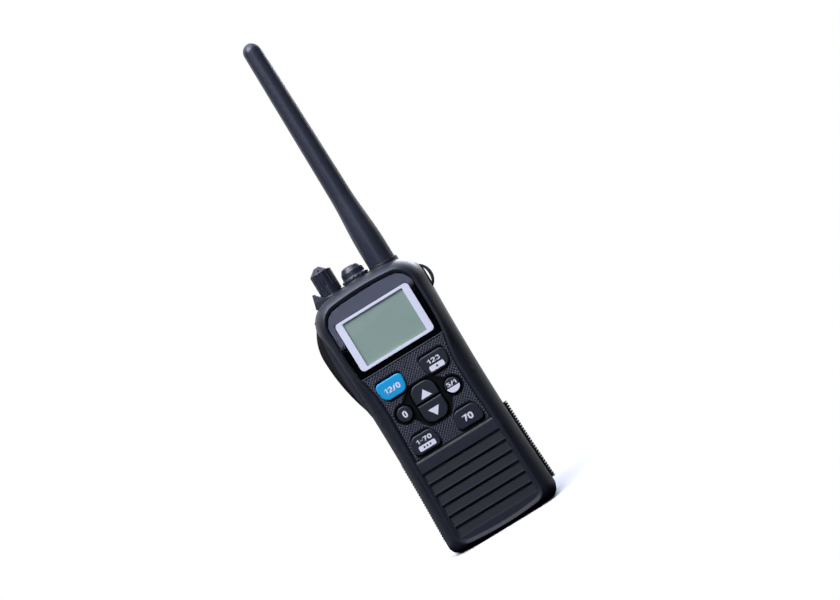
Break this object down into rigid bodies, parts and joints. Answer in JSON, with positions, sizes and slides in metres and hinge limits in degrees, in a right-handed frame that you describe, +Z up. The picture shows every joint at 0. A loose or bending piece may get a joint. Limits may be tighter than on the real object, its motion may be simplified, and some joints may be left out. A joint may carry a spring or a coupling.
{
  "type": "handheld marine radio",
  "caption": "Handheld VHF marine radio with rubber antenna, two top knobs, display window, keypad, louvred speaker grille, side talk key, rear battery and belt clip.",
  "frame": {"origin": "middle of the flat foot of the body, on the ground, in the plane midway between the sides", "axes": "+Z up along the body to the antenna, the face looks along -Y, +X to the viewer's right"},
  "size_m": [0.0603, 0.0371, 0.2375],
  "materials": {
    "housing_plastic": "black glass-filled plastic with a fine moulded grain",
    "battery_plastic": "black plastic with a fine moulded grain",
    "knob_plastic": "black moulded plastic",
    "key_plastic": "black smooth plastic with printed legends",
    "blue_plastic": "bright blue smooth plastic with a printed legend",
    "lens_plastic": "clear polished plastic",
    "print": "black print on the back of the lens",
    "silver_plastic": "silver lacquered plastic",
    "display_glass": "grey-green display glass",
    "light_guide": "white light guide",
    "rubber": "black rubber",
    "board": "green circuit board",
    "membrane": "thin black moulding",
    "steel": "plain steel",
    "magnet": "sintered magnet",
    "brass": "plain brass",
    "cell": "plain metal can"
  },
  "bodies": {
    "radio": {"antenna_jack": "brass", "board_connector": "board", "board_screws": "steel", "chassis_screws": "steel", "contact_block": "housing_plastic", "contact_pins": "brass", "display_frame": "silver_plastic", "display_lens": "lens_plastic", "front_housing": "housing_plastic", "key_domes": "steel", "keypad_mat": "rubber", "lcd_backlight": "light_guide", "lcd_glass": "display_glass", "lens_print": "print", "logic_board": "board", "main_seal": "rubber", "mic_boot": "rubber", "mic_capsule": "steel", "rear_chassis": "housing_plastic", "rf_board": "board", "rf_shield": "steel", "shaft_seals": "rubber", "speaker_cone": "membrane", "speaker_frame": "steel", "speaker_gasket": "rubber", "speaker_magnet": "magnet", "speaker_membrane": "membrane", "squelch_pot": "membrane", "strap_loop": "housing_plastic", "talk_seal": "rubber", "talk_switch": "membrane", "volume_pot": "membrane"},
    "key_sixteen": {"key_sixteen": "blue_plastic"},
    "key_star": {"key_star": "key_plastic"},
    "key_function": {"key_function": "key_plastic"},
    "key_power": {"key_power": "key_plastic"},
    "key_up": {"key_up": "key_plastic"},
    "key_down": {"key_down": "key_plastic"},
    "key_scan": {"key_scan": "key_plastic"},
    "key_channel": {"key_channel": "key_plastic"},
    "talk_key": {"talk_key": "housing_plastic"},
    "volume_control": {"volume_shaft": "steel", "volume_knob": "knob_plastic"},
    "squelch_control": {"squelch_shaft": "steel", "squelch_knob": "knob_plastic"},
    "antenna_carrier": {"antenna_gasket": "rubber"},
    "antenna": {"antenna_sheath": "rubber", "antenna_insert": "brass", "antenna_whip": "brass"},
    "battery": {"battery_case": "battery_plastic", "battery_cover": "battery_plastic", "battery_cells": "cell", "battery_contacts": "brass", "clip_base": "battery_plastic", "clip_screws": "steel", "clip_pin": "steel", "clip_spring": "steel", "latch_spring": "steel"},
    "latch": {"battery_latch": "battery_plastic"},
    "belt_clip": {"belt_clip": "battery_plastic"}
  },
  "joints": [
    {"name": "key_sixteen_press", "type": "slide", "parent": "radio", "child": "key_sixteen", "axis": [0, 1, 0], "range_m": [0, 0.0006], "stiffness_N_per_m": 600, "springref_m": -0.001},
    {"name": "key_star_press", "type": "slide", "parent": "radio", "child": "key_star", "axis": [0, 1, 0], "range_m": [0, 0.0006], "stiffness_N_per_m": 600, "springref_m": -0.001},
    {"name": "key_function_press", "type": "slide", "parent": "radio", "child": "key_function", "axis": [0, 1, 0], "range_m": [0, 0.0006], "stiffness_N_per_m": 600, "springref_m": -0.001},
    {"name": "key_power_press", "type": "slide", "parent": "radio", "child": "key_power", "axis": [0, 1, 0], "range_m": [0, 0.0006], "stiffness_N_per_m": 600, "springref_m": -0.001},
    {"name": "key_up_press", "type": "slide", "parent": "radio", "child": "key_up", "axis": [0, 1, 0], "range_m": [0, 0.0006], "stiffness_N_per_m": 600, "springref_m": -0.001},
    {"name": "key_down_press", "type": "slide", "parent": "radio", "child": "key_down", "axis": [0, 1, 0], "range_m": [0, 0.0006], "stiffness_N_per_m": 600, "springref_m": -0.001},
    {"name": "key_scan_press", "type": "slide", "parent": "radio", "child": "key_scan", "axis": [0, 1, 0], "range_m": [0, 0.0006], "stiffness_N_per_m": 600, "springref_m": -0.001},
    {"name": "key_channel_press", "type": "slide", "parent": "radio", "child": "key_channel", "axis": [0, 1, 0], "range_m": [0, 0.0006], "stiffness_N_per_m": 600, "springref_m": -0.001},
    {"name": "talk_press", "type": "slide", "parent": "radio", "child": "talk_key", "axis": [1, 0, 0], "range_m": [0, 0.001], "stiffness_N_per_m": 900, "springref_m": -0.001},
    {"name": "volume_turn", "type": "hinge", "parent": "radio", "child": "volume_control", "pos_m": [-0.0124, -0.0026, 0.13], "axis": [0, 0, -1], "range_deg": [0, 270]},
    {"name": "squelch_turn", "type": "hinge", "parent": "radio", "child": "squelch_control", "pos_m": [-0.0002, -0.0026, 0.128], "axis": [0, 0, -1], "range_deg": [0, 270]},
    {"name": "antenna_lift", "type": "slide", "parent": "radio", "child": "antenna_carrier", "axis": [0, 0, 1], "range_m": [0, 0.007]},
    {"name": "antenna_turn", "type": "hinge", "parent": "antenna_carrier", "child": "antenna", "pos_m": [0.0131, -0.0026, 0.13], "axis": [0, 0, 1], "range_deg": [0, 2520]},
    {"name": "battery_swing", "type": "hinge", "parent": "radio", "child": "battery", "pos_m": [0, 0.007, 0.088], "axis": [1, 0, 0], "range_deg": [0, 8]},
    {"name": "latch_slide", "type": "slide", "parent": "battery", "child": "latch", "axis": [0, 0, 1], "range_m": [0, 0.003], "deforming": ["latch_spring"]},
    {"name": "clip_swing", "type": "hinge", "parent": "battery", "child": "belt_clip", "pos_m": [0, 0.0183, 0.077], "axis": [1, 0, 0], "range_deg": [0, 12], "stiffness_Nm_per_rad": 0.3, "springref_deg": -17.19}
  ],
  "couplings": [
    {"joint": "antenna_turn", "follows": "antenna_lift", "rad_per_m": 6283.2},
    {"joint": "latch_slide", "follows": "battery_swing", "m_per_rad": 0.021486}
  ]
}
